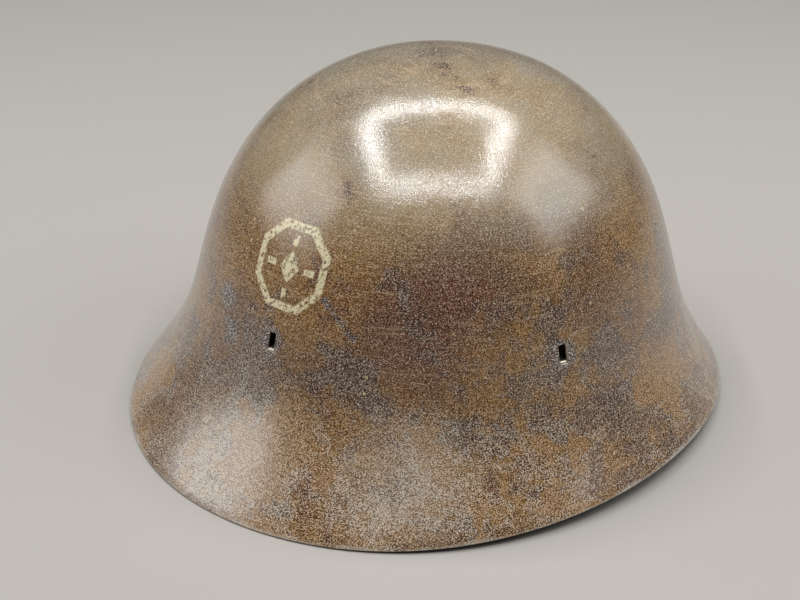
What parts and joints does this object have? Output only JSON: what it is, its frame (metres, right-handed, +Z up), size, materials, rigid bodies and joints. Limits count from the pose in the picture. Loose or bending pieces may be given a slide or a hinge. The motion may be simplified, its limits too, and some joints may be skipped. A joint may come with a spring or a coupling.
{
  "type": "civil defence helmet",
  "caption": "Bell-shaped pressed steel helmet with a flared rim, slots with bent tabs, a leather liner on a wire hoop and swinging rings for a chin tape.",
  "frame": {"origin": "under the middle of the rim, on the surface that the rim stands on", "axes": "+Z up through the crown, -Y to the wearer's front, +X to the wearer's left"},
  "size_m": [0.273, 0.3, 0.1617],
  "materials": {
    "painted_shell": "aged brown-olive paint, satin, worn to rust and dark steel",
    "bare_steel": "drawn steel wire and strip, dulled",
    "band_leather": "dark oiled leather, worn",
    "strap_leather": "tan leather, worn",
    "cotton_cord": "undyed cotton cord",
    "grey_felt": "pressed wool felt"
  },
  "bodies": {
    "root": {"shell": "painted_shell", "liner_hoop": "bare_steel", "hoop_ferrule": "bare_steel", "sweatband": "band_leather", "hanger_front_left": "strap_leather", "hanger_side_left": "strap_leather", "hanger_rear_left": "strap_leather", "hanger_rear_right": "strap_leather", "hanger_side_right": "strap_leather", "hanger_front_right": "strap_leather", "hanger_rivets": "bare_steel", "tongue_front_left": "strap_leather", "tongue_side_left": "strap_leather", "tongue_rear_left": "strap_leather", "tongue_rear_right": "strap_leather", "tongue_side_right": "strap_leather", "tongue_front_right": "strap_leather", "crown_cord": "cotton_cord", "pad_front_left": "grey_felt", "pad_rear": "grey_felt", "pad_front_right": "grey_felt", "clip_left": "bare_steel", "clip_rear": "bare_steel", "clip_right": "bare_steel"},
    "chin_ring_left": {"dee_ring_left": "bare_steel"},
    "chin_ring_rear": {"dee_ring_rear": "bare_steel"},
    "chin_ring_right": {"dee_ring_right": "bare_steel"}
  },
  "joints": [
    {"name": "chin_ring_left_swing", "type": "hinge", "parent": "root", "child": "chin_ring_left", "pos_m": [0.10698, 0.00493, 0.0526], "axis": [0, 1, 0], "range_deg": [-31, 68]},
    {"name": "chin_ring_rear_swing", "type": "hinge", "parent": "root", "child": "chin_ring_rear", "pos_m": [0, 0.11452, 0.0526], "axis": [-1, 0, 0], "range_deg": [-34, 72]},
    {"name": "chin_ring_right_swing", "type": "hinge", "parent": "root", "child": "chin_ring_right", "pos_m": [-0.10698, 0.00493, 0.0526], "axis": [0, -1, 0], "range_deg": [-31, 68]}
  ]
}
